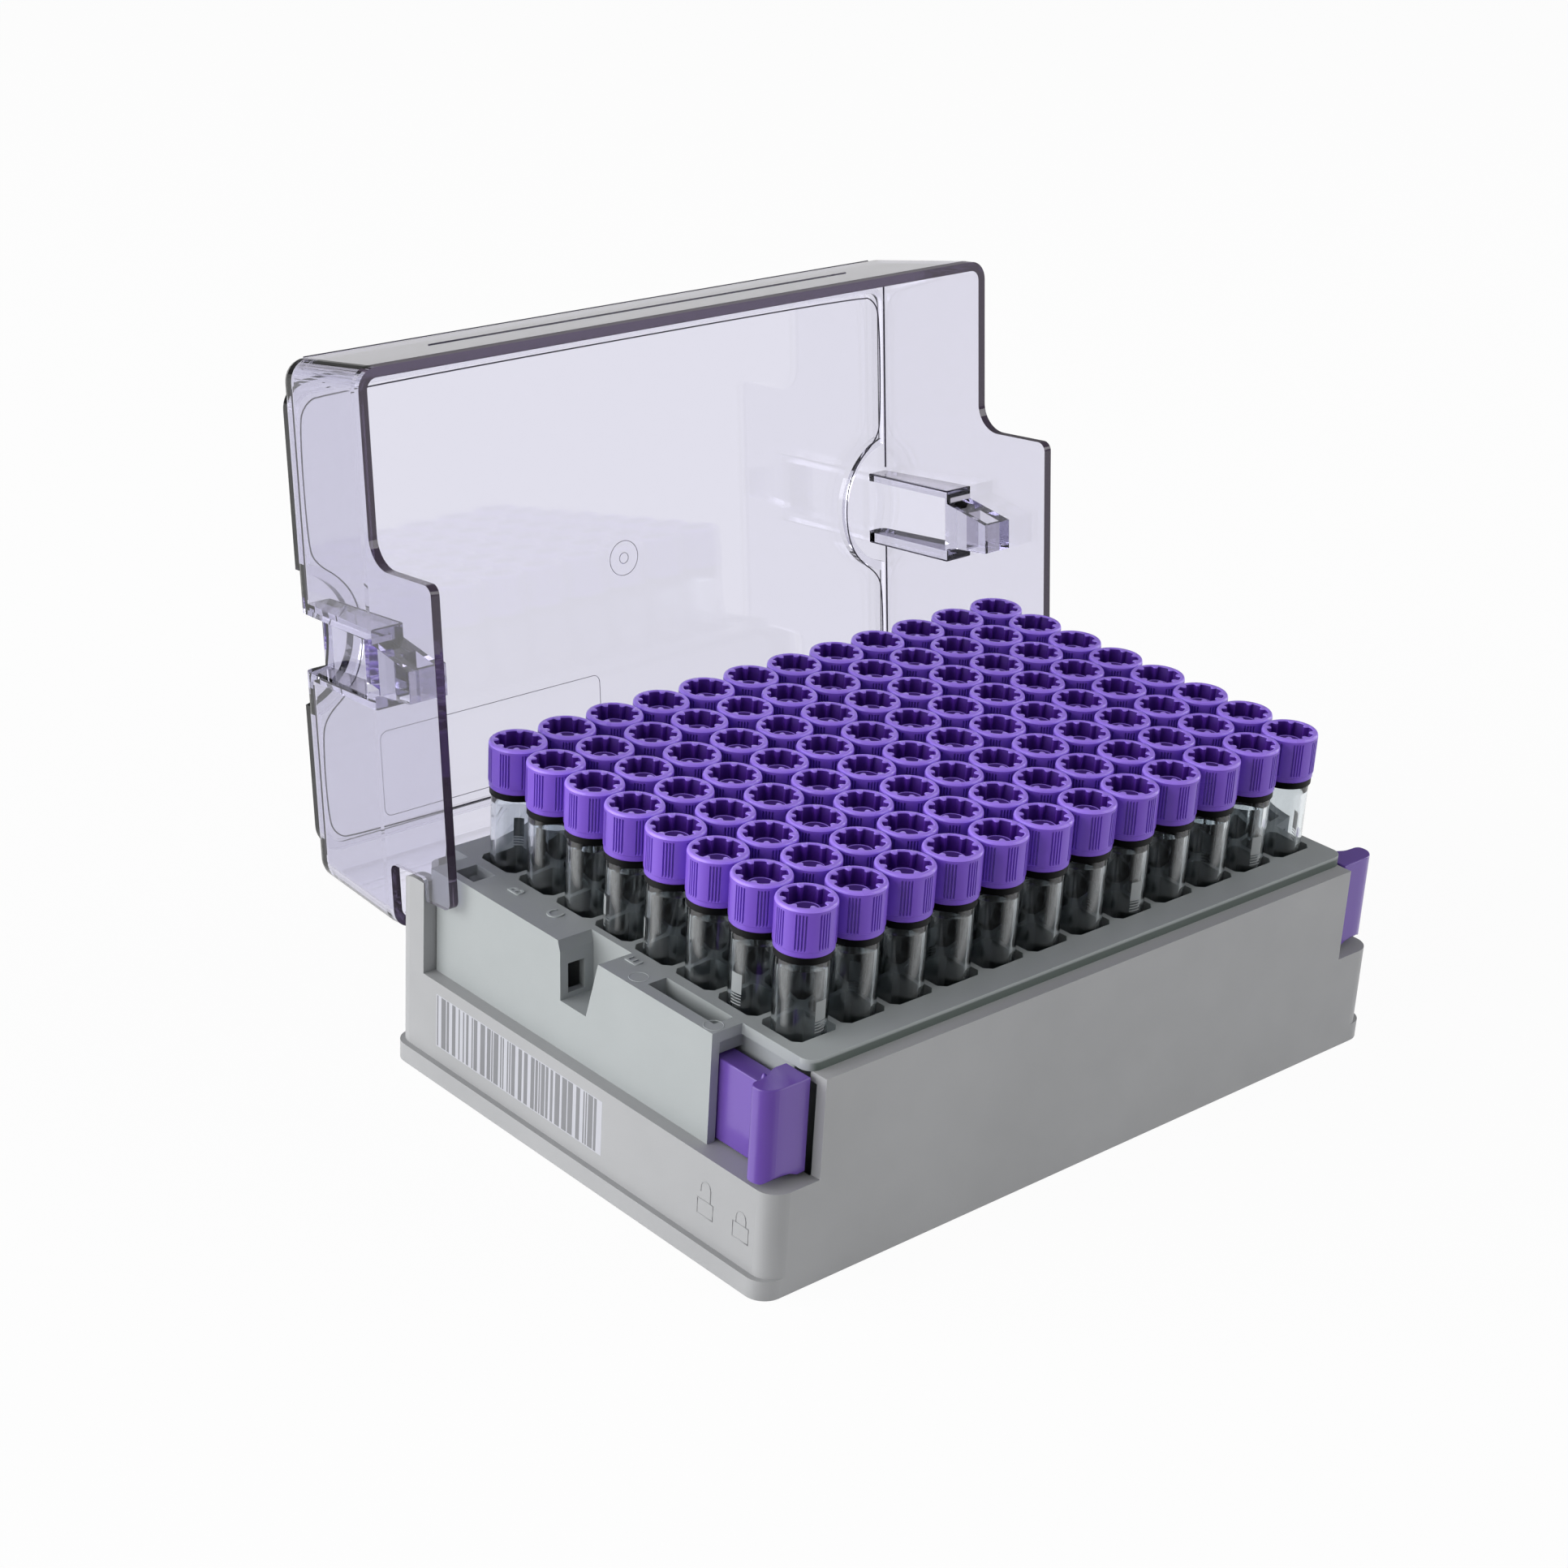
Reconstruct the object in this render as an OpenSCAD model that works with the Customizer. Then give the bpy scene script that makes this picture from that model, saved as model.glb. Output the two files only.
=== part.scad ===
// Rack for sample tubes with screw caps: a frame, a well insert, a base grid, and a clear lid that
// clips onto two hinge pins at the back and is held shut by two sliding locks. The lid is drawn open.
// X runs along the rows, from the first column to the last. Y runs from row H in front to row A at the back.
// The origin is the middle of the footprint, on the surface that the rack stands on. Sizes are millimetres.

/* [Tube array] */
// Number of tube columns
columns = 12; // [6:1:12]
// Distance between the centres of neighbouring tubes
pitch = 9; // [8.9:0.1:9.6]

/* [Frame] */
// From the outermost column's cell to the side face
side_margin = 8.9; // [8.7:0.1:10.5]
// From the outermost row's cell to the front and rear faces
end_margin = 6.74; // [6.6:0.02:7.6]
// Radius of the upright corners
corner_r = 3.2; // [2.4:0.1:4]
// Thickness of the walls
frame_wall = 1.8; // [1.4:0.1:2.2]
// How far the foot flange stands out on the short sides
flange_out = 0.98; // [0.5:0.02:1.5]
// Height of the foot flange
flange_h = 3; // [2:0.1:6]
// Height of the side ledges, where the insert stands and the lid's deep skirt ends
ledge_z = 16.2; // [14:0.1:17.5]
// Height of the front and rear walls
wall_top_z = 31.5; // [30.5:0.1:33]

/* [Base grid] */
// Height of the lip that carries the grid
lip_h = 2; // [1:0.1:4]
// Thickness of the grid
grid_t = 2; // [1.5:0.1:3]
// Diameter of the code windows under the tubes
window_d = 6; // [4:0.1:6.4]

/* [Well insert] */
// Thickness of the webs between the wells
web = 1; // [0.8:0.05:1.1]
// Cut across each corner of a well
well_chamfer = 1; // [0.4:0.1:1.2]
// Height of the wells' lower ends
well_foot_z = 8; // [6:0.5:12]
// Thickness of the deck
deck_t = 1.7; // [1.4:0.1:2]
// Thickness of the upper side walls
insert_wall = 1.4; // [1:0.1:1.6]
// Depth of the latch notches below the deck
notch_depth = 9.2; // [8.6:0.1:10]
// How far the latch notches lie behind the middle
notch_shift = 2.3; // [0:0.1:4]

/* [Tubes] */
// Play of a tube in its well, on each side
tube_play = 0.15; // [0.1:0.05:0.5]
// Thickness of a tube's wall
tube_wall = 0.75; // [0.6:0.05:0.9]
// From a tube's foot to its shoulder
tube_len = 40.2; // [38:0.1:40.5]
// Width of the shoulder, from the tube's side in to its neck
shoulder_w = 0.65; // [0.55:0.05:0.85]
// Height of the neck
neck_h = 4.4; // [4:0.1:4.8]
// Thickness of the code disc in a tube's foot
code_t = 2; // [1.5:0.1:2.5]

/* [Caps] */
// Gap between neighbouring caps
cap_gap = 0.36; // [0.2:0.02:0.8]
// Height of a cap
cap_h = 7.2; // [6.9:0.1:7.4]
// Depth of the drive recess in a cap's top
drive_depth = 2.4; // [2:0.1:2.6]
// From a cap's side to its drive recess, between the lobes
drive_wall = 1.72; // [1.5:0.02:2]
// Width of the seal ring, from the neck out
seal_w = 0.9; // [0.7:0.05:1]
// Thickness of the seal ring
seal_t = 1; // [0.8:0.1:1.2]

/* [Lid] */
// Thickness of the lid's walls
lid_wall = 1.5; // [1.2:0.05:1.6]
// How much narrower the lid is at its top than at its lowest rim, on each side
lid_draft = 2; // [0.8:0.1:2.2]
// Height of the stepped panel above the rest of the lid's top
panel_rise = 1.8; // [1:0.1:2.4]
// Clear width of the finger grips
grip_w = 9.2; // [8:0.1:12]
// Depth of the finger grips, from the lid's side face
grip_depth = 5.9; // [5.5:0.1:6]
// How far past upright the open lid leans back
open_tilt = 6.5; // [2:0.5:8]

/* [Locks] */
// Diameter of the hinge pins
pin_d = 3; // [2.6:0.1:3.2]
// Width of the finger block, along the slide
block_len = 4.4; // [3.5:0.1:5]
// How far the finger block stands proud of the frame's side
block_proud = 0.3; // [0:0.1:1]
// Width of the lock bar
bar_w = 2; // [1.6:0.1:2.2]
// Height of the lock bar
bar_h = 3.6; // [3:0.1:3.8]
// How far the bar's tip stands back from the middle of the notch when unlocked
bar_back = 3.6; // [3.5:0.1:5]

/* [Hidden] */
$fn = 48;
hull_fn = 32;
rows = 8;
drive_lobes = 8;

// Clearances
overrun = 1;
skin = 0.01;
touch_gap = 0.1;
fit_gap = 0.2;
slide_gap = 0.3;
swing_gap = 0.4;
thread_gap = 0.1;

// Tube array
well_w = pitch - web;
block_x = columns * pitch / 2 + web / 2;
block_y = rows * pitch / 2 + web / 2;

// Frame
body_x = columns * pitch / 2 + side_margin;
body_y = rows * pitch / 2 + end_margin;
cavity_x = body_x - frame_wall;
cavity_y = body_y - frame_wall;
cavity_r = corner_r - frame_wall + skin;
shelf_t = 1.5;
shelf_z = ledge_z - shelf_t;
deck_shelf_w = 1.3;
lip_w = 1.5;
rail_len = 27;

// Well insert
deck_z = wall_top_z + deck_t;
side_gap = 0.7;
insert_out = body_x - lid_wall - side_gap;
insert_in = insert_out - insert_wall;
seat_over = 0.1;
deck_inset = 2.44;
deck_y = body_y - deck_inset;
deck_corner_r = 2;
bay_len = 16;
bay_y = body_y - bay_len;
bay_lip = 0.9;
bay_x = block_x + bay_lip;
corner_recess = 6.74;
recess_y = body_y - corner_recess;
recess_lip = 0.5;
notch_z = deck_z - notch_depth;
notch_back = 0.2;
notch_wall = 1.2;
notch_top_w = 9.1;
notch_foot_front = 2.2;
notch_foot_rear = 3.6;
notch_lip = 0.35;
pocket_floor = 1;
pocket_len = 14;
pocket_start = 2;
pocket_w = 3.3;
vent_len = 4.5;
vent_start = 2.8;

// Tubes, caps and seals
tube_d = well_w - 2 * tube_play;
neck_d = tube_d - 2 * shoulder_w;
cap_d = pitch - cap_gap;
drive_d = cap_d - 2 * drive_wall;
foot_z = lip_h + grid_t;
shoulder_z = foot_z + tube_len;
cap_z = shoulder_z + seal_t;
cap_top_z = cap_z + cap_h;
foot_skirt = 0.35;
tube_floor = 1.2;
tube_cone = 1.6;
cone_r = 1;
shoulder_t = 1.4;
neck_wall = 0.7;
cap_floor_gap = 0.3;
band_h = 0.9;
band_in = 0.12;
cap_edge = 0.3;
lobe_d = 1.5;

// Lid, in its closed place
rim_z = wall_top_z + touch_gap;
skirt_z = ledge_z + fit_gap;
cap_clear = 0.5;
plate_z = cap_top_z + cap_clear;
lid_top_z = plate_z + lid_wall;
lid_edge_r = 1.4;
lid_inner_edge_r = 0.6;
edge_step = 30;
foot_draft = 0.3;
bend_z = deck_z + swing_gap;
flap_front_y = -13.8;
flap_rear_y = recess_y - 2 * swing_gap;
flap_r = 1.5;
flap_fillet = 4.5;
slot_len = 3.5;
slot_r = 1.2;
panel_inset_x = 3;
panel_inset_y = 6;
panel_r = 4;
bulge_in = 0.9;
bulge_r = 10.9;
grip_x = body_x - grip_depth;
grip_back = grip_x - lid_wall;
grip_z = bend_z;
grip_floor = 1.2;
tongue_gap = 0.45;
tongue_rise = 0.5;
tongue_in = 1;
eye_gap = 0.4;

// Hinge
pivot_in = 4.84;
pivot_drop = 6.2;
pivot_y = body_y - pivot_in;
pivot_z = wall_top_z - pivot_drop;
claw_t = 2.8;
claw_wall = 1.5;
claw_mouth = 2.6;
claw_x = body_x - 2 * frame_wall - swing_gap + touch_gap;
arm_in = 1.6;
arm_out = 4.2;
arm_low = 0.9;
arm_root = 1.2;
slot_out_x = claw_x + swing_gap;
slot_in_x = claw_x - claw_t - swing_gap;
bracket_t = 1;
bracket_top = 4.7;
post_r = wall_top_z - pivot_z - swing_gap;
post_top_z = pivot_z + post_r;
lid_lean = foot_draft * (rim_z - skirt_z) / (bend_z - skirt_z);
rear_rim_in = pivot_in - lid_lean - lid_wall;
rear_wall_r = norm([rear_rim_in, rim_z - pivot_z]) - touch_gap;
arm_reach = (pivot_in + arm_out * sin(open_tilt)) / cos(open_tilt);
arm_drop = arm_out * cos(open_tilt) + arm_reach * sin(open_tilt);
slot_z = pivot_z - arm_drop - touch_gap;

// Locks
bar_lift = 1.3;
bar_z = notch_z + bar_lift;
bar_top_z = bar_z + bar_h;
bar_inset = 0.2;
bar_tip = 1.2;
slab_in = bay_x + slide_gap;
slab_out = insert_in - slide_gap;
bar_out = slab_out - bar_inset;
bar_in = bar_out - bar_w;
slab_z = ledge_z + slide_gap;
slab_len = 12.4;
block_inset = 1.94;
block_front_y = block_inset - body_y;
block_rear_y = block_front_y + block_len;
block_z = ledge_z + 2 * swing_gap;
block_top_z = wall_top_z - fit_gap;
block_r = 2;
window_gap = 0.5;
pocket_z = bar_top_z + slide_gap + pocket_floor;

// A rectangle from its low corner to its high corner
module box2d(low, high) {
    translate(low) square(high - low);
}

// A box from its low corner to its high corner
module box(low, high) {
    translate(low) cube(high - low);
}

// The same with round corners
module round_box2d(low, high, r) {
    box2d(low + [r, 0], high - [r, 0]);
    box2d(low + [0, r], high - [0, r]);
    for (x = [low[0] + r, high[0] - r], y = [low[1] + r, high[1] - r])
        translate([x, y]) circle(r);
}

// A plate with round corners, centred on the origin in X and Y
module plate(half_x, half_y, r, low_z, high_z) {
    translate([0, 0, low_z]) linear_extrude(height = high_z - low_z)
        round_box2d([-half_x, -half_y], [half_x, half_y], r);
}

// A side view, drawn in Y and Z, carried along X
module along_x(low_x, high_x) {
    translate([low_x, 0, 0]) rotate([90, 0, 90]) linear_extrude(height = high_x - low_x) children();
}

module both_sides() {
    children();
    mirror([1, 0, 0]) children();
}

// A cylinder along X about the hinge axis
module hinge_rod(r, low_x, high_x) {
    translate([low_x, pivot_y, pivot_z]) rotate([0, 90, 0]) cylinder(h = high_x - low_x, r = r);
}

function tube_x(column) = (column - (columns - 1) / 2) * pitch;
function tube_y(row) = ((rows - 1) / 2 - row) * pitch;

// Copies at the tubes of one row, from the given column on
module at_row(row, first = 0) {
    for (column = [first : columns - 1]) translate([tube_x(column), tube_y(row), 0]) children();
}

module at_all_tubes() {
    for (row = [0 : rows - 1]) at_row(row) children();
}

// The rear wall and the posts are rounded about the hinge axis, so the lid's rim can swing past them
module rear_profile(inner_y, top_z, round_r) {
    intersection() {
        box2d([inner_y, shelf_z], [body_y, top_z]);
        union() {
            box2d([inner_y, shelf_z], [body_y, pivot_z]);
            box2d([inner_y, shelf_z], [pivot_y, top_z]);
            translate([pivot_y, pivot_z]) circle(round_r);
        }
    }
}

module outer_frame() {
    color([0.66, 0.67, 0.68]) difference() {
        union() {
            difference() {
                union() {
                    plate(body_x, body_y, corner_r, 0, ledge_z);
                    plate(body_x + flange_out, body_y, corner_r, 0, flange_h);
                }
                plate(cavity_x, cavity_y, cavity_r, lip_h, shelf_z);
                plate(insert_in - seat_over, cavity_y, cavity_r, shelf_z - overrun, ledge_z + overrun);
                plate(cavity_x - lip_w, cavity_y - lip_w, cavity_r, -overrun, lip_h + overrun);
            }
            box([-block_x, -body_y, shelf_z], [block_x, -cavity_y, wall_top_z]);
            box([-block_x, -body_y, wall_top_z - shelf_t], [block_x, deck_shelf_w - cavity_y, wall_top_z]);
            along_x(-slot_out_x, slot_out_x) rear_profile(cavity_y, wall_top_z, rear_wall_r);
            along_x(-block_x, block_x) intersection() {
                rear_profile(cavity_y - deck_shelf_w, wall_top_z, rear_wall_r);
                box2d([0, wall_top_z - shelf_t], [body_y, wall_top_z]);
            }
            both_sides() {
                // the rail under the lock
                box([block_x + slide_gap, -cavity_y - skin, shelf_z],
                    [cavity_x + skin, rail_len - cavity_y, ledge_z]);
                // the post outside the hinge and the bracket inside it
                intersection() {
                    plate(body_x, body_y, corner_r, shelf_z, post_top_z);
                    along_x(slot_out_x, body_x) rear_profile(recess_y, post_top_z, post_r);
                }
                box([slot_in_x - bracket_t, recess_y + fit_gap, shelf_z],
                    [slot_in_x, cavity_y + skin, pivot_z + bracket_top]);
            }
        }
        both_sides() box([slot_in_x, cavity_y - overrun, slot_z],
            [slot_out_x, body_y + overrun, wall_top_z + overrun]);
    }
    color([0.66, 0.67, 0.68]) both_sides() hinge_rod(pin_d / 2, slot_in_x - skin, slot_out_x + skin);
}

// Side view of a latch notch in Y and Z, widened by grow
module notch2d(grow, top_z) {
    polygon([
        [notch_shift - notch_top_w / 2 - grow, top_z],
        [notch_shift - notch_foot_front - grow, notch_z - grow],
        [notch_shift + notch_foot_rear + grow, notch_z - grow],
        [notch_shift + notch_foot_rear + notch_lip + grow, wall_top_z],
        [notch_shift + notch_top_w / 2 + grow, top_z]
    ]);
}

module well2d() {
    half = well_w / 2;
    cut = half - well_chamfer;
    polygon([
        [cut, -half], [half, -cut], [half, cut], [cut, half],
        [-cut, half], [-half, cut], [-half, -cut], [-cut, -half]
    ]);
}

module deck2d() {
    box2d([-insert_out, -bay_y], [insert_out, recess_y]);
    box2d([-bay_x, -deck_y + deck_corner_r], [bay_x, -bay_y + skin]);
    round_box2d([-bay_x, -deck_y], [bay_x, -bay_y], deck_corner_r);
    box2d([-block_x - recess_lip, recess_y - skin], [block_x + recess_lip, deck_y]);
}

module well_insert() {
    color([0.70, 0.72, 0.70]) difference() {
        union() {
            translate([0, 0, well_foot_z]) linear_extrude(height = deck_z - well_foot_z) difference() {
                square([2 * block_x, 2 * block_y], center = true);
                at_all_tubes() well2d();
            }
            translate([0, 0, wall_top_z]) linear_extrude(height = deck_t) difference() {
                deck2d();
                square([2 * block_x - web, 2 * block_y - web], center = true);
            }
            both_sides() {
                box([insert_in, -bay_y, ledge_z], [insert_out, recess_y - fit_gap, deck_z - skin]);
                along_x(block_x - web / 2, insert_out - skin) notch2d(notch_wall, deck_z - skin);
                box([block_x - web / 2, pocket_start - bay_y - notch_wall, pocket_z - pocket_floor],
                    [insert_in + skin, pocket_start - bay_y + pocket_len + notch_wall, deck_z - skin]);
            }
        }
        both_sides() {
            along_x(block_x + notch_back, insert_out + overrun) notch2d(0, deck_z + skin);
            box([bar_in - window_gap, notch_shift - notch_top_w, bar_z - window_gap],
                [bar_out + window_gap, notch_shift + notch_top_w, bar_top_z + window_gap]);
            box([bay_x, pocket_start - bay_y, pocket_z],
                [bay_x + pocket_w, pocket_start - bay_y + pocket_len, deck_z + overrun]);
            box([bay_x, recess_y - vent_start - vent_len, wall_top_z - overrun],
                [insert_in, recess_y - vent_start, deck_z + overrun]);
        }
    }
}

module base_grid() {
    color([0.62, 0.63, 0.64]) translate([0, 0, lip_h]) linear_extrude(height = grid_t) difference() {
        round_box2d([fit_gap - cavity_x, fit_gap - cavity_y], [cavity_x - fit_gap, cavity_y - fit_gap], cavity_r);
        at_all_tubes() circle(d = window_d);
    }
}

// A closed block with the lid's outline, drawn in by inset, with a rounded top edge. It is nearly upright
// beside the insert and leans in above it.
module lid_block(inset, low_z, top_z, edge_r) {
    hull() {
        lid_slice(inset, inset, low_z);
        lid_slice(inset, inset + foot_draft, bend_z);
        for (angle = [0 : edge_step : 90])
            lid_slice(inset, inset + lid_draft + edge_r * (1 - cos(angle)),
                top_z - edge_r * (1 - sin(angle)) - skin);
    }
}

module lid_slice(wall, inset, low_z) {
    half_x = body_x - inset;
    half_y = body_y - inset;
    r = corner_r - wall;
    translate([0, 0, low_z]) linear_extrude(height = skin)
        for (x = [r - half_x, half_x - r], y = [r - half_y, half_y - r])
            translate([x, y]) circle(r = r, $fn = hull_fn);
}

// Side view of what is kept of the lid: all above the rim, and the deep flap on each side
module lid_side2d() {
    difference() {
        union() {
            box2d([-body_y - overrun, rim_z], [body_y + overrun, lid_top_z + panel_rise + overrun]);
            round_box2d([flap_front_y, skirt_z], [flap_rear_y, rim_z + 2 * flap_r], flap_r);
            difference() {
                box2d([flap_front_y - flap_fillet, rim_z - flap_fillet], [flap_front_y + flap_r, rim_z + skin]);
                translate([flap_front_y - flap_fillet, rim_z - flap_fillet]) circle(flap_fillet);
            }
        }
        round_box2d([flap_rear_y - slot_len, pivot_z - flap_r - slot_r],
            [body_y + 2 * overrun + slot_r, rim_z], slot_r);
    }
}

module panel2d(inset) {
    half_x = body_x - panel_inset_x - inset;
    half_y = body_y - panel_inset_y - inset;
    difference() {
        round_box2d([-half_x, -half_y], [half_x, half_y], panel_r - inset);
        for (x = [bulge_in - body_x, body_x - bulge_in])
            translate([x, notch_shift]) circle(bulge_r + inset);
    }
}

// The claw that clips onto a hinge pin, with its mouth downwards
module claw() {
    difference() {
        along_x(claw_x - claw_t, claw_x) {
            translate([pivot_y, pivot_z]) circle(pin_d / 2 + thread_gap + claw_wall);
            box2d([pivot_y + arm_in, pivot_z + arm_low], [pivot_y + arm_out, rim_z + arm_root]);
        }
        hinge_rod(pin_d / 2 + thread_gap, claw_x - claw_t - overrun, claw_x + overrun);
        box([claw_x - claw_t - overrun, pivot_y - claw_mouth / 2, pivot_z - 2 * pin_d],
            [claw_x + overrun, pivot_y + claw_mouth / 2, pivot_z]);
    }
}

module closed_lid() {
    difference() {
        union() {
            intersection() {
                difference() {
                    lid_block(0, skirt_z, lid_top_z, lid_edge_r);
                    difference() {
                        lid_block(lid_wall, skirt_z - overrun, plate_z, lid_inner_edge_r);
                        both_sides() box(
                            [grip_back, notch_shift - grip_w / 2 - lid_wall, grip_z],
                            [body_x, notch_shift + grip_w / 2 + lid_wall, plate_z + overrun]);
                    }
                }
                along_x(-body_x - overrun, body_x + overrun) lid_side2d();
            }
            translate([0, 0, lid_top_z - lid_wall / 2]) linear_extrude(height = panel_rise + lid_wall / 2)
                panel2d(0);
            both_sides() {
                along_x(grip_back, body_x - tongue_in) notch2d(-tongue_gap, grip_z + tongue_rise);
                claw();
            }
        }
        translate([0, 0, plate_z - overrun]) linear_extrude(height = panel_rise + overrun) panel2d(lid_wall);
        both_sides() {
            box([grip_x, notch_shift - grip_w / 2, grip_z + grip_floor],
                [body_x + overrun, notch_shift + grip_w / 2, lid_top_z + panel_rise + overrun]);
            box([bar_in - eye_gap, notch_shift - notch_top_w, bar_z - eye_gap],
                [bar_out + eye_gap, notch_shift + notch_top_w, bar_top_z + eye_gap]);
        }
    }
}

module lid() {
    color([0.80, 0.82, 0.90, 0.4]) translate([0, pivot_y, pivot_z]) rotate([-90 - open_tilt, 0, 0])
        translate([0, -pivot_y, -pivot_z]) closed_lid();
}

module lock_slider() {
    color([0.30, 0.12, 0.48]) {
        // the finger block, with its outer front corner rounded
        translate([0, 0, block_z]) linear_extrude(height = block_top_z - block_z) {
            box2d([slab_in, block_front_y], [body_x + block_proud - block_r, block_rear_y]);
            box2d([slab_in, block_front_y + block_r], [body_x + block_proud, block_rear_y]);
            translate([body_x + block_proud - block_r, block_front_y + block_r]) circle(block_r);
        }
        box([slab_in, block_rear_y - skin, slab_z], [slab_out, block_rear_y + slab_len, bar_top_z]);
        // the bar, with a pointed tip
        translate([0, 0, bar_z]) linear_extrude(height = bar_h) polygon([
            [bar_in, block_rear_y + slab_len - skin],
            [bar_out, block_rear_y + slab_len - skin],
            [bar_out, notch_shift - bar_back - bar_tip],
            [(bar_in + bar_out) / 2, notch_shift - bar_back],
            [bar_in, notch_shift - bar_back - bar_tip]
        ]);
    }
}

module lock_slider_right() {
    lock_slider();
}

module lock_slider_left() {
    mirror([1, 0, 0]) lock_slider();
}

module tube() {
    outer = tube_d / 2;
    inner = outer - tube_wall;
    skirt = outer - foot_skirt;
    floor_z = foot_z + code_t + tube_floor;
    neck_top = shoulder_z + neck_h;
    rotate_extrude() polygon([
        [skirt, foot_z], [outer, foot_z], [outer, shoulder_z], [neck_d / 2, shoulder_z],
        [neck_d / 2, neck_top], [neck_d / 2 - neck_wall, neck_top],
        [neck_d / 2 - neck_wall, shoulder_z], [inner, shoulder_z - shoulder_t],
        [inner, floor_z + tube_cone], [cone_r, floor_z], [0, floor_z],
        [0, foot_z + code_t], [skirt, foot_z + code_t]
    ]);
}

module cap() {
    outer = cap_d / 2;
    bore = neck_d / 2 + thread_gap;
    bore_top = shoulder_z + neck_h + cap_floor_gap;
    difference() {
        rotate_extrude() polygon([
            [bore, cap_z], [outer - band_in, cap_z], [outer - band_in, cap_z + band_h],
            [outer, cap_z + band_h], [outer, cap_top_z - cap_edge], [outer - cap_edge, cap_top_z],
            [0, cap_top_z], [0, bore_top], [bore, bore_top]
        ]);
        translate([0, 0, cap_top_z - drive_depth]) linear_extrude(height = drive_depth + overrun) {
            circle(d = drive_d);
            for (lobe = [0 : drive_lobes - 1]) rotate(lobe * 360 / drive_lobes)
                translate([drive_d / 2, 0]) circle(d = lobe_d);
        }
    }
}

module seal() {
    rotate_extrude() translate([neck_d / 2 + thread_gap, shoulder_z])
        square([seal_w - thread_gap, seal_t]);
}

module code() {
    translate([0, 0, foot_z]) cylinder(h = code_t, r = tube_d / 2 - foot_skirt - thread_gap / 2);
}

module tubes_row(row, first = 0) {
    color([0.32, 0.34, 0.42]) at_row(row, first) tube();
}

module caps_row(row, first = 0) {
    color([0.33, 0.14, 0.52]) at_row(row, first) cap();
}

module seals_row(row, first = 0) {
    color([0.06, 0.06, 0.07]) at_row(row, first) seal();
}

module codes_row(row, first = 0) {
    color([0.05, 0.05, 0.06]) at_row(row, first) code();
}

module at_h1() {
    translate([tube_x(0), tube_y(rows - 1), 0]) children();
}

module tube_h1() {
    color([0.32, 0.34, 0.42]) at_h1() tube();
}

module cap_h1() {
    color([0.33, 0.14, 0.52]) at_h1() cap();
}

module seal_h1() {
    color([0.06, 0.06, 0.07]) at_h1() seal();
}

module code_h1() {
    color([0.05, 0.05, 0.06]) at_h1() code();
}

outer_frame();
well_insert();
base_grid();
lid();
lock_slider_left();
lock_slider_right();
tubes_row(0);  // tubes_row_a
tubes_row(1);  // tubes_row_b
tubes_row(2);  // tubes_row_c
tubes_row(3);  // tubes_row_d
tubes_row(4);  // tubes_row_e
tubes_row(5);  // tubes_row_f
tubes_row(6);  // tubes_row_g
tubes_row(7, 1);  // tubes_row_h
caps_row(0);  // caps_row_a
caps_row(1);  // caps_row_b
caps_row(2);  // caps_row_c
caps_row(3);  // caps_row_d
caps_row(4);  // caps_row_e
caps_row(5);  // caps_row_f
caps_row(6);  // caps_row_g
caps_row(7, 1);  // caps_row_h
seals_row(0);  // seals_row_a
seals_row(1);  // seals_row_b
seals_row(2);  // seals_row_c
seals_row(3);  // seals_row_d
seals_row(4);  // seals_row_e
seals_row(5);  // seals_row_f
seals_row(6);  // seals_row_g
seals_row(7, 1);  // seals_row_h
codes_row(0);  // codes_row_a
codes_row(1);  // codes_row_b
codes_row(2);  // codes_row_c
codes_row(3);  // codes_row_d
codes_row(4);  // codes_row_e
codes_row(5);  // codes_row_f
codes_row(6);  // codes_row_g
codes_row(7, 1);  // codes_row_h
tube_h1();
cap_h1();
seal_h1();
code_h1();
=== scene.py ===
"""Looks of the tube rack: materials, dressed tubes, caps and lid, light, floor and camera."""
import math
import random

import bmesh
import bpy
from mathutils import Matrix, Vector


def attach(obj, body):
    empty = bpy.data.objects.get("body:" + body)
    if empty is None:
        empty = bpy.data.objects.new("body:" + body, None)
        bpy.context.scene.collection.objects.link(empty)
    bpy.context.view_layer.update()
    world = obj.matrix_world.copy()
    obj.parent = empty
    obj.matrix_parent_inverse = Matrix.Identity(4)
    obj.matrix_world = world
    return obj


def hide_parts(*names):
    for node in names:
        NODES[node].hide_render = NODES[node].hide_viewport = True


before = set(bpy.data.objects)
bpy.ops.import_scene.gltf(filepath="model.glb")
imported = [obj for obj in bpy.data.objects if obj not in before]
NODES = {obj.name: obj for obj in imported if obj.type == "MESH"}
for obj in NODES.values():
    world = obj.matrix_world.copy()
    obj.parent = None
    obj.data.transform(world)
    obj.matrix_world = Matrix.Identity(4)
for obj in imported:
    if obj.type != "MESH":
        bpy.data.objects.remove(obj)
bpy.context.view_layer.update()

MM = 0.001

# Places and sizes in millimetres, as in the CAD source
PITCH, COLUMNS, ROWS = 9.0, 12, 8
SIDE_X = 62.9
DECK_Z = 33.2
TUBE_R = 3.85
CAP_R, CAP_LOW, CAP_TOP = 4.32, 45.2, 52.4
PIVOT_Y, PIVOT_Z, OPEN_TILT = 37.9, 25.3, math.radians(6.5)

ROW_LETTERS = "abcdefgh"
SINGLE = (7, 1)  # row and column of tube H1, which has pieces of its own

# Camera: the photograph's viewpoint, in radians and millimetres, and its focal length in pixels
CAM_AZ, CAM_EL, CAM_ROLL = -0.7491578364, 0.4176147841, -0.0587843552
CAM_AT = (-295.040, -289.814, 226.413)
FOCAL_PX, PHOTO_PX, SENSOR = 3709.499, 1932, 36.0
CLIP_START, CLIP_END = 0.01, 10


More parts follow.
